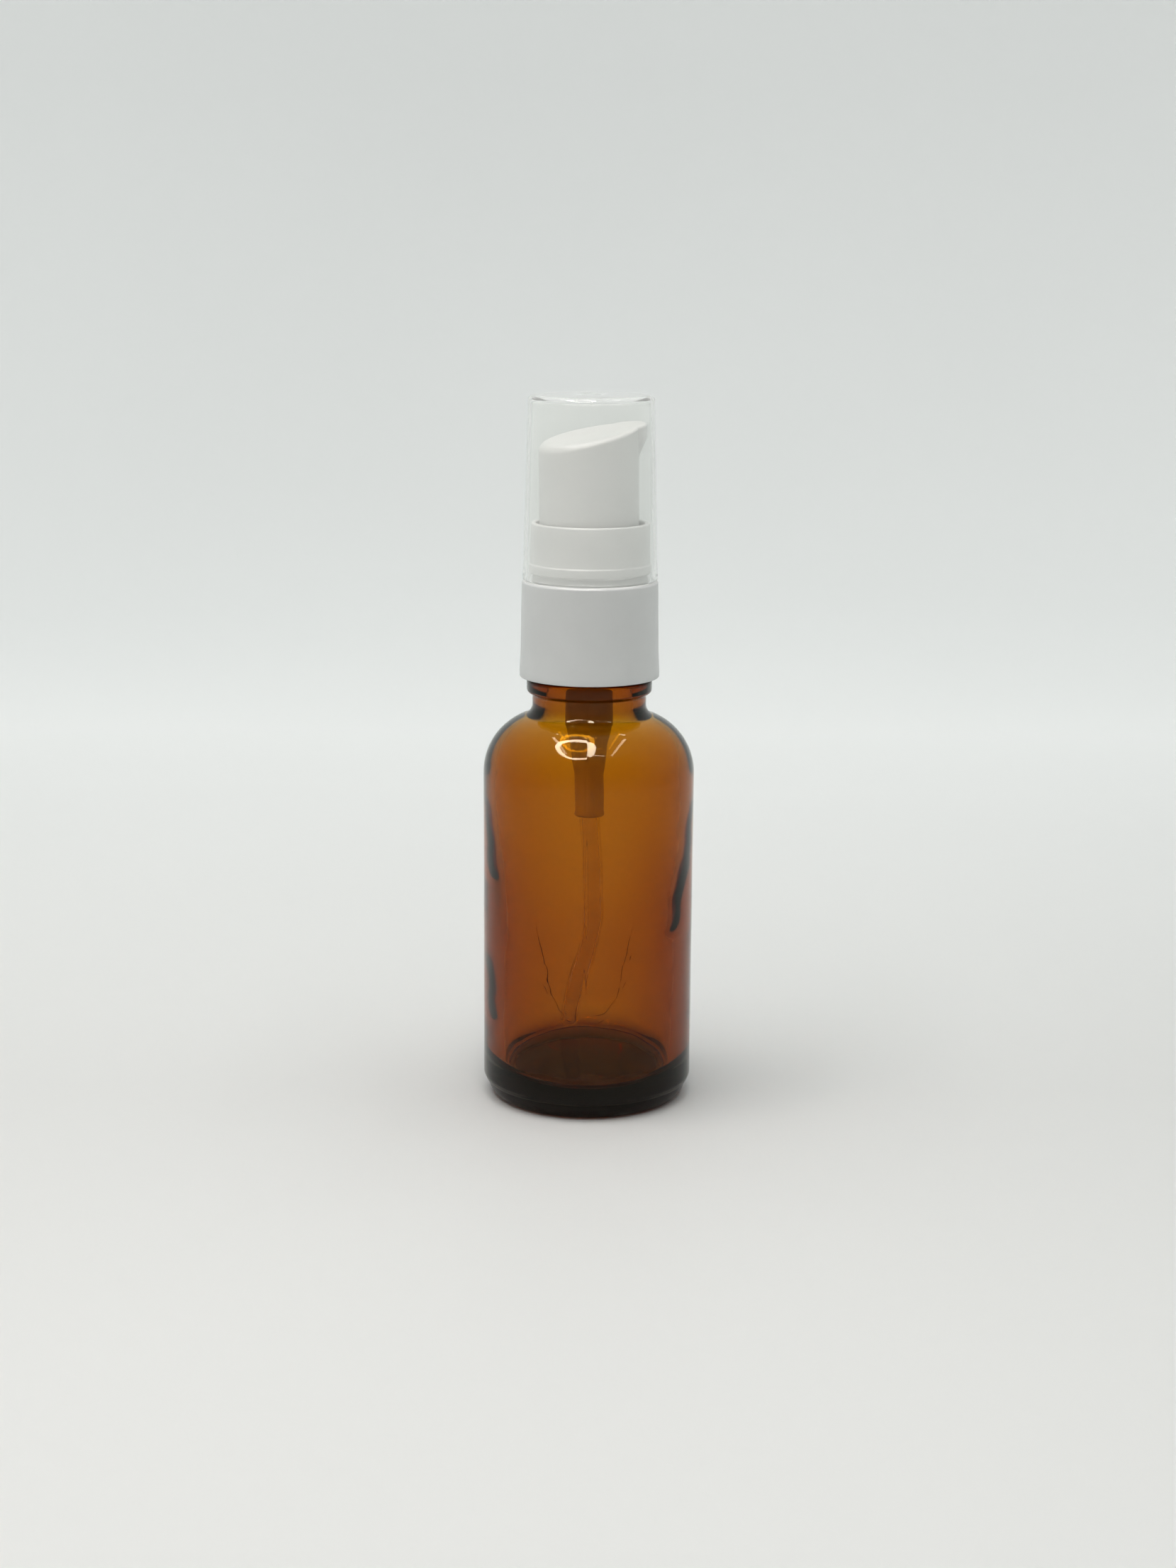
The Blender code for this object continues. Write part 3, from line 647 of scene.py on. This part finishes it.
def make_bottle(glass):
    foot = FOOT_RADIUS - REST_OUTER
    foot_shape = FOOT_TOP / foot
    lip = 0.6
    outer = [
        (REST_INNER, 0.0),
        *arc((REST_OUTER, FOOT_TOP), foot, -90, 0, 10, foot_shape),
        *arc((FOOT_RADIUS + 0.12, 2.9), 0.4, -60, 0, 3),
        (BODY_RADIUS - 0.06, 3.25),
        (BODY_RADIUS, HEEL_START),
        *tangent_arcs(BODY_RADIUS, SHOULDER_START, SHOULDER_RADIUS, NECK_RADIUS, NECK_FILLET, 36),
        (NECK_RADIUS, BEAD_BOTTOM - 0.25),
        (NECK_RADIUS + 0.12, BEAD_BOTTOM - 0.06),
        *arc((BEAD_RADIUS - 0.6, BEAD_BOTTOM + 0.6), 0.6, -75, 0, 6),
        *arc((BEAD_RADIUS - 0.5, BEAD_TOP - 0.5), 0.5, 0, 80, 5),
        (FINISH_RADIUS + 0.4, BEAD_TOP + 0.12),
        (FINISH_RADIUS + 0.05, BEAD_TOP + 0.5),
        *arc((FINISH_RADIUS - lip, GLASS_TOP - lip), lip, 0, 90, 6),
    ]
    low_inner = BODY_RADIUS - LOW_WALL
    floor_corner = (low_inner - FLOOR_FILLET, FLOOR_HEIGHT + FLOOR_FILLET)
    inner = [
        (0.0, FLOOR_HEIGHT),
        (0.5, FLOOR_HEIGHT),
        *arc(floor_corner, FLOOR_FILLET, -90, 0, 16),
        (low_inner, LOW_WALL_TOP),
        (BODY_RADIUS - WALL, HIGH_WALL_BOTTOM),
        *tangent_arcs(
            BODY_RADIUS - WALL, INNER_SHOULDER_START, INNER_SHOULDER_RADIUS, NECK_BORE, THROAT_FILLET, 24
        ),
        (NECK_BORE, NECK_BORE_TOP),
        (BORE_RADIUS, FINISH_BORE_BOTTOM),
        *arc((BORE_RADIUS + 0.5, GLASS_TOP - 0.5), 0.5, 180, 90, 5),
    ]
    under = [
        (0.0, PUSH_UP),
        (0.5, PUSH_UP),
        (0.55 * REST_INNER, 0.9 * PUSH_UP),
        (REST_INNER - 1.1, 0.55 * PUSH_UP),
    ]
    outer = densify([*under, *outer], 0.45)
    inner = densify(inner, 0.45)
    steps = 200
    angles = seam_angles(steps)
    rings = []
    for profile, shape in ((outer, outside_shape), (list(reversed(inner)), inside_shape)):
        for r, z in profile:
            if r < 1e-6:
                rings.append([(0.0, 0.0, z + (floor_lift(0, 0, z) if z > PUSH_UP else 0))])
                continue
            points = []
            for angle in angles:
                moved_r, moved_z = shape(r, z, angle)
                points.append((moved_r * math.cos(angle), moved_r * math.sin(angle), moved_z))
            rings.append(points)
    bottle = skin("glass_bottle", rings, sharp=60)
    return finish_piece(bottle, glass, "bottle", "bottle")


# ---------------------------------------------------------------- closure


def make_collar(white):
    top, low = COLLAR_HIGH.z, COLLAR_LOW.z
    rim = COLLAR_HIGH.x
    edge = 0.45
    profile = [
        (COLLAR_INNER + 0.15, low),
        (rim - 0.15, low),
        *arc((rim - 0.15, low + 0.15), 0.15, -90, 0, 3)[1:],
        (rim, 68.2),
        (rim - 0.04, 68.9),
        (rim - 0.10, 70.2),
        (10.68, 71.8),
        *arc((10.52 - edge, top - edge), edge, 2, 90, 8),
        (COLLAR_HOLE + 0.15, top),
        (COLLAR_HOLE, top - 0.15),
        (COLLAR_HOLE, top - COLLAR_PLATE),
        (COLLAR_INNER - 0.3, top - COLLAR_PLATE),
        (COLLAR_INNER, top - COLLAR_PLATE - 0.3),
        (COLLAR_INNER, low + 0.3),
    ]
    start = THREAD_START - THREAD_PITCH / 2

    def shape(r, z, angle):
        if r > COLLAR_INNER + 0.01 or z > top - COLLAR_PLATE - 0.4 or z < low + 0.4:
            return r, z
        return r - (COLLAR_INNER - COLLAR_CREST) * thread_height(z, angle, start), z

    collar = turned("screw_collar", densify(profile, 0.3, True), even_angles(160), shape, ring=True)
    return finish_piece(collar, white, "collar", "collar")


def make_guide_ring(white):
    under = RING_HIGH.z - 8.8
    plate_top = under + 1.1
    top = RING_HIGH.z
    bore = 8.3
    edge = 0.3
    bead = RING_HIGH.x
    profile = [
        (5.7, under),
        (5.7, 81.0),
        (6.8, 81.0),
        (6.8, under),
        (8.85, under),
        (8.85, 83.25),
        *arc((bead - 0.25, 83.75), 0.25, -70, 0, 4),
        *arc((bead - 0.25, 84.75), 0.25, 0, 60, 4),
        (9.25, 85.15),
        *arc((9.12 - edge, top - edge), edge, 2, 90, 6),
        *arc((bore + 0.25, top - 0.25), 0.25, 90, 180, 4),
        *arc((bore - 0.5, plate_top + 0.5), 0.5, 0, -90, 4),
        (STEM_RADIUS + 0.5, plate_top),
        (STEM_RADIUS + 0.2, plate_top - 0.3),
        (STEM_RADIUS + 0.2, RING_LOW.z),
        (CHAMBER_RADIUS - 0.15, RING_LOW.z),
        (CHAMBER_RADIUS - 0.15, under),
    ]
    ring = turned("cap_ring", densify(profile, 1.2, True), even_angles(144), ring=True, sharp=50)
    return finish_piece(ring, white, "pump", "guide_ring")


def make_overcap(clear):
    low, top = CAP_LOW.z, CAP_HIGH.z
    rim = CAP_HIGH.x
    top_radius = 9.68
    wall, roof = 0.68, 0.85
    edge, inner_edge = 0.95, 0.5

    def outer(z):
        return rim + (top_radius - rim) * (z - low) / (top - low)

    ceiling = top - roof
    inner_top = outer(ceiling) - wall
    profile = [
        (0.0, ceiling - 0.25),
        (0.2, ceiling - 0.22),
        (0.42, ceiling - 0.06),
        (0.7, ceiling),
        *arc((inner_top - inner_edge, ceiling - inner_edge), inner_edge, 90, 0, 8),
        (outer(84.4) - wall, 84.4),
        (outer(84.0) - wall - 0.02, 84.0),
        (9.56, 83.4),
        (9.56, 83.0),
        (9.8, low + 0.05),
        (9.9, low),
        (rim - 0.2, low),
        *arc((rim - 0.15, low + 0.15), 0.15, -80, 0, 4),
        *arc((top_radius - edge, top - edge), edge, 2, 90, 14),
        (1.6, top),
        (1.5, top - 0.03),
        (0.0, top - 0.03),
    ]
    cap = turned("clear_overcap", densify(profile, 0.8), even_angles(192), sharp=50)
    cap.visible_shadow = False
    cap.visible_diffuse = False
    return finish_piece(cap, clear, "overcap", "overcap")


# ---------------------------------------------------------------- pump


def make_housing(natural):
    flange_top = GLASS_TOP + 0.2 + 0.9 + 1.1
    flange_bottom = flange_top - 1.1
    flange = HOUSING_HIGH.x
    low, high = HOUSING_LOW.z, HOUSING_HIGH.z
    tail_bore = TUBE_RADIUS + 0.15
    profile = [
        (CHAMBER_RADIUS, 58.4),
        (1.3, 58.4),
        (1.3, 58.0),
        (1.9, 57.8),
        (1.9, 55.7),
        (0.9, 54.3),
        (0.9, 49.6),
        (tail_bore, 49.3),
        (tail_bore, low + 0.1),
        (tail_bore + 0.1, low),
        (2.15, low),
        (2.3, low + 0.15),
        (2.3, low + 0.4),
        (2.2, 46.2),
        (2.3, 51.0),
        (2.65, 53.0),
        (2.95, 55.8),
        (3.4, 57.4),
        (3.65, 58.6),
        (3.65, flange_bottom - 0.6),
        (3.95, flange_bottom),
        (flange - 0.1, flange_bottom),
        (flange, flange_bottom + 0.1),
        (flange, flange_top - 0.1),
        (flange - 0.1, flange_top),
        (5.4, flange_top),
        (5.4, high - 0.15),
        (5.25, high),
        (4.75, high),
        (4.6, high - 0.15),
        (4.6, flange_top),
        (CHAMBER_RADIUS, flange_top),
    ]
    housing = turned("pump_body", densify(profile, 1.5, True), even_angles(96), ring=True, sharp=50)
    return finish_piece(housing, natural, "pump", "pump_housing")


def make_dip_tube(natural):
    points = smooth_route(TUBE_ROUTE, 10)
    outer = tube_rings(points, TUBE_RADIUS, 48)
    inner = tube_rings(points, TUBE_RADIUS - TUBE_WALL, 48)
    rings = [*outer, *reversed(inner)]
    tube = skin("dip_straw", rings, ring=True, sharp=50)
    return finish_piece(tube, natural, "pump", "dip_tube")


def make_spring(steel):
    """The coil, with one closed turn at each end."""
    wire_radius, coil_radius = 0.25, 2.2
    turns, closed_turns, per_turn = 7, 1, 36
    low, high = SPRING_LOW.z + wire_radius, SPRING_HIGH.z - wire_radius
    closed_pitch = 2.5 * wire_radius
    open_rise = high - low - 2 * closed_turns * closed_pitch
    points = []
    for i in range(turns * per_turn + 1):
        turn = i / per_turn
        from_end = min(turn, turns - turn)
        if from_end < closed_turns:
            height = from_end * closed_pitch
            z = low + height if turn < turns / 2 else high - height
        else:
            z = low + closed_turns * closed_pitch
            z += open_rise * (turn - closed_turns) / (turns - 2 * closed_turns)
        angle = 2 * math.pi * turn
        points.append(Vector((coil_radius * math.cos(angle), coil_radius * math.sin(angle), z)))
    rings = tube_rings(points, wire_radius, 12)
    spring = skin("pump_spring", [[tuple(points[0])], *rings, [tuple(points[-1])]], sharp=60)
    finish_piece(spring, steel, "pump", "return_spring")
    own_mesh(spring)


# ---------------------------------------------------------------- actuator


def head_outline(angle, height):
    """The actuator's outer radius in a direction (0 is the spout's) at a height."""
    climb = max(0.0, (height - RING_HIGH.z) / (HEAD_CENTRE - RING_HIGH.z))
    rear = ((1 - math.cos(angle)) / 2) ** 2
    front = ((1 + math.cos(angle)) / 2) ** 2
    radius = HEAD_RADIUS + HEAD_REAR_SWELL * rear * (1 + 0.45 * climb) - 0.2 * front * min(1.0, climb)
    off_axis = abs(math.remainder(angle, 2 * math.pi))
    if off_axis < SPOUT_HALF_ANGLE and height > SPOUT_UNDERSIDE:
        rise = min(1.0, (height - SPOUT_UNDERSIDE) / (SPOUT_FULL_HEIGHT - SPOUT_UNDERSIDE))
        swell = rise * rise * (3 - 2 * rise)
        across = math.cos(off_axis / SPOUT_HALF_ANGLE * math.pi / 2) ** 0.5
        radius += (SPOUT_REACH - radius) * swell * across
    return radius


def head_top(x, share):
    """The finger pad's height at x, share 1 on its rim and 0 in the middle."""
    return HEAD_CENTRE + HEAD_SLOPE * x - HEAD_DISH * (1 - share * share)


def head_column(angle, levels, rim_steps, pad_rings):
    """(radius, height) points up the side, round the rim and in over the finger pad, in one direction."""
    reach = head_outline(angle, HEAD_CENTRE)
    soft = 0.45 + 1.0 * ((1 - math.cos(angle)) / 2) ** 2
    inset = reach - soft
    shoulder = head_top(reach * math.cos(angle), 1.0) - soft
    column = []
    for level in range(levels):
        height = HEAD_BOTTOM + 0.2 + (shoulder - HEAD_BOTTOM - 0.2) * (level / (levels - 1)) ** 0.8
        column.append((head_outline(angle, height), height))
    top = head_top(inset * math.cos(angle), 1.0)
    for step in range(rim_steps):
        turn = (step + 1) / rim_steps * math.pi / 2
        column.append((inset + soft * math.cos(turn), shoulder + (top - shoulder) * math.sin(turn)))
    for k in range(pad_rings):
        share = 1 - (k + 1) / (pad_rings + 1)
        column.append((inset * share, head_top(inset * share * math.cos(angle), share)))
    return column


def make_actuator(white):
    around = 160
    spread = even_angles(around)
    columns = [head_column(angle, 40, 8, 14) for angle in spread]
    socket_outer, socket_inner = 3.1, STEM_RADIUS + 0.15
    hollow_top = 100.3
    shell = HEAD_RADIUS - 1.15
    socket_top = 101.1
    underside = [
        (0.0, 102.3),
        (1.1, 102.3),
        (1.1, socket_top),
        (socket_inner, socket_top),
        (socket_inner, HEAD_BOTTOM + 0.15),
        (socket_inner + 0.15, HEAD_BOTTOM),
        (socket_outer, HEAD_BOTTOM),
        (socket_outer, hollow_top),
        (shell, hollow_top),
        (shell, HEAD_BOTTOM),
        (HEAD_RADIUS - 0.2, HEAD_BOTTOM),
    ]
    rings = []
    for r, z in densify(underside, 1.5):
        rings.append([(r * math.cos(a), r * math.sin(a), z) for a in spread] if r > 0 else [(0.0, 0.0, z)])
    for k in range(len(columns[0])):
        ring = []
        for angle, column in zip(spread, columns):
            radius, height = column[k]
            ring.append((radius * math.cos(angle), radius * math.sin(angle), height))
        rings.append(ring)
    rings.append([(0.0, 0.0, head_top(0.0, 0.0))])
    head = skin("pump_actuator", rings, sharp=50)
    inlet, outlet = Vector((0, 0, 101.9)), Vector((SPOUT_REACH + 1, 0, OUTLET_HEIGHT))
    drill_hole(head, inlet, outlet, 0.6)
    head.rotation_euler.z = SPOUT_HEADING
    return finish_piece(head, white, "actuator", "actuator")


def drill_hole(target, start, end, radius):
    """Cuts a round hole from start to end, and applies the cut."""
    along = end - start
    around = even_angles(32)
    side = Vector((0, 1, 0))
    up = along.normalized().cross(side)
    rings = []
    for point in (start, end):
        rings.append([tuple(point + (side * math.cos(a) + up * math.sin(a)) * radius) for a in around])
    cutter = skin("hole_cutter", [[tuple(start)], *rings, [tuple(end)]])
    cut = target.modifiers.new("hole", "BOOLEAN")
    cut.object = cutter
    cut.operation = "DIFFERENCE"
    bpy.context.view_layer.update()
    result = bpy.data.meshes.new_from_object(target.evaluated_get(bpy.context.evaluated_depsgraph_get()))
    target.modifiers.clear()
    target.data = result
    result.shade_smooth()
    result.set_sharp_from_angle(angle=math.radians(50))
    bpy.data.objects.remove(cutter)


# ---------------------------------------------------------------- studio


def backdrop_material():
    """A pale sheet: its floor and back wall are light-coloured, and the wall on the open front side is
    painted darker as painted shade. The wall and the floor far behind glow a little, as painted light.
    """
    made = Nodes("pale_backdrop")
    made.set(Roughness=0.6, Specular_IOR_Level=0.25)
    place = made.tree.nodes.new("ShaderNodeSeparateXYZ")
    made.link(made.coords(), place.inputs[0])
    wall = made.spread(place.outputs["Z"], 0.0, 1.0, 0.0, 0.25)
    # Painted shade: the wall gets darker towards the open front
    front = made.spread(place.outputs["Y"], 1.0, 0.0, -0.6, -0.1)
    tone = made.colours(made.noise(3.5, 2), (0.735, 0.745, 0.74), (0.755, 0.765, 0.76))
    shaded_tone = made.mix(front, tone, FRONT_WALL_SHADE)
    made.link(made.mix(wall, tone, shaded_tone), made.shader.inputs["Base Color"])
    # Painted light: the floor glows more the farther behind it lies, and the wall glows more towards the back
    far_floor_glow = made.spread(place.outputs["Y"], 0.0, 0.235, 0.0, 0.30)
    around = made.spread(place.outputs["Y"], 0.03, BACK_GLOW, -0.5, 0.0)
    upright = made.spread(place.outputs["Z"], 0.0, 1.0, 0.0, 0.2)
    made.link(made.between(upright, far_floor_glow, around), made.shader.inputs["Emission Strength"])
    made.shader.inputs["Emission Color"].default_value = (0.985, 1.0, 0.99, 1)
    return made.material


def make_backdrop():
    """A pale floor whose rim curves up into a wall all round."""
    reach, curve, height = 0.50, 0.30, 1.0
    profile = [(0.0, 0.0), (0.05, 0.0), (0.2, 0.0)]
    for i in range(33):
        angle = math.pi / 2 * i / 32
        profile.append((reach + curve * math.sin(angle), curve - curve * math.cos(angle)))
    profile.append((reach + curve, height))
    rings = []
    for r, z in profile:
        if r == 0:
            rings.append([(0.0, 0.0, 0.0)])
            continue
        rings.append([(r * math.cos(a) / MM, r * math.sin(a) / MM, z / MM) for a in even_angles(128)])
    backdrop = skin("backdrop", rings)
    backdrop.data.materials.append(backdrop_material())


def lamp_material(name, colour, strength):
    made = bpy.data.materials.new(name)
    made.use_nodes = True
    tree = made.node_tree
    tree.nodes.clear()
    glow = tree.nodes.new("ShaderNodeEmission")
    glow.inputs["Color"].default_value = (*colour, 1)
    glow.inputs["Strength"].default_value = strength
    output = tree.nodes.new("ShaderNodeOutputMaterial")
    tree.links.new(glow.outputs["Emission"], output.inputs["Surface"])
    return made


def strip(name, centre, length, along_y):
    """A soft strip lamp that faces down, and a copy of it that only reflections see."""
    light = bpy.data.lights.new(name, "AREA")
    light.shape = "RECTANGLE"
    light.size, light.size_y = (STRIP_WIDTH, length) if along_y else (length, STRIP_WIDTH)
    light.energy = STRIP_RADIANCE * math.pi * length * STRIP_WIDTH
    light.color = STRIP_COLOUR
    lamp = bpy.data.objects.new(name, light)
    lamp.location = centre
    bpy.context.scene.collection.objects.link(lamp)
    glint = lamp.copy()
    glint.visible_diffuse = False
    bpy.context.scene.collection.objects.link(glint)


def make_loop_lamp(name, height, strength):
    """A rounded loop of light hung overhead."""
    around = 96
    verts, faces = [], []
    for grow in (-LOOP_WIDTH / 2, LOOP_WIDTH / 2):
        for angle in even_angles(around):
            c, s = math.cos(angle), math.sin(angle)
            x = math.copysign(abs(c) ** 0.85, c) * (LOOP_HALF_X + grow)
            y = math.copysign(abs(s) ** 0.85, s) * (LOOP_HALF_Y + grow)
            verts.append(((LOOP_X + x) / MM, (LOOP_Y + y) / MM, height / MM))
    for i in range(around):
        after = (i + 1) % around
        faces.append((i, around + i, around + after, after))
    loop = mesh_object(name, verts, faces)
    loop.data.materials.append(lamp_material(name + "_glow", LOOP_COLOUR, strength))
    return loop


def make_lights():
    """The light box's lamps: strips overhead, along a rectangle's sides, and a loop towards the front."""
    left, right, front, back = -0.165, 0.174, -0.252, 0.138
    along_y = (("left", left, -0.214, 0.086), ("right", right, -0.241, 0.064))
    along_x = (
        ("back_left", back, -0.135, -0.100),
        ("back_right", back, 0.087, 0.156),
        ("front", front, 0.033, 0.118),
    )
    for name, x, start, end in along_y:
        strip("strip_" + name, (x, (start + end) / 2, LAMP_HEIGHT), end - start, True)
    for name, y, start, end in along_x:
        strip("strip_" + name, ((start + end) / 2, y, LAMP_HEIGHT), end - start, False)
    make_loop_lamp("loop_lamp", LAMP_HEIGHT + 0.002, 10)
    glint = make_loop_lamp("loop_glint", LAMP_HEIGHT, 26)
    glint.visible_diffuse = False
    glint.visible_shadow = False


def make_world():
    """An even pale ceiling over the backdrop."""
    world = bpy.data.worlds.new("surround")
    world.use_nodes = True
    background = world.node_tree.nodes["Background"]
    background.inputs["Color"].default_value = (0.97, 1.0, 0.985, 1)
    background.inputs["Strength"].default_value = 0.68
    bpy.context.scene.world = world


def make_camera():
    """Looks a little down on the bottle from the front."""
    data = bpy.data.cameras.new("camera")
    data.sensor_width = 36
    data.lens = 58.67
    camera = bpy.data.objects.new("camera", data)
    camera.location = (-0.0001, -0.3915, 0.135)
    tilt = Matrix.Rotation(math.radians(90 - 12.24), 4, "X")
    roll = Matrix.Rotation(math.radians(0.4), 4, "Z")
    camera.rotation_euler = (tilt @ roll).to_euler()
    bpy.context.scene.collection.objects.link(camera)
    bpy.context.scene.camera = camera


def main():
    make_camera()
    make_world()
    make_backdrop()
    make_lights()
    bpy.context.scene.view_settings.view_transform = "Standard"
    bpy.context.scene.view_settings.gamma = 0.85
    white = (0.75, 0.75, 0.735)
    make_bottle(amber_glass())
    # The collar's white is darker than the other white parts: a painted shade
    make_collar(white_plastic("collar_plastic", (0.70, 0.71, 0.705), 2600))
    make_guide_ring(white_plastic("ring_plastic", white, 2600))
    make_overcap(clear_plastic())
    make_housing(natural_plastic("housing_plastic", (0.78, 0.66, 0.54), 0.0, (0.3, 0.45)))
    make_dip_tube(natural_plastic("tube_plastic", (0.96, 0.92, 0.83), 1.0, (0.04, 0.10), 1.10))
    make_spring(spring_steel())
    make_actuator(white_plastic("actuator_plastic", white, 3000))
    repaint("neck_gasket", gasket_foam())
    repaint("stem", white_plastic("stem_plastic", white, 3000))
    repaint("piston_pin", natural_plastic("pin_plastic", (0.82, 0.83, 0.8), 0.2, (0.35, 0.5)))
    repaint("piston", natural_plastic("piston_plastic", (0.88, 0.88, 0.85), 0.1, (0.4, 0.55)))
    repaint("inlet_ball", ball_glass())


main()
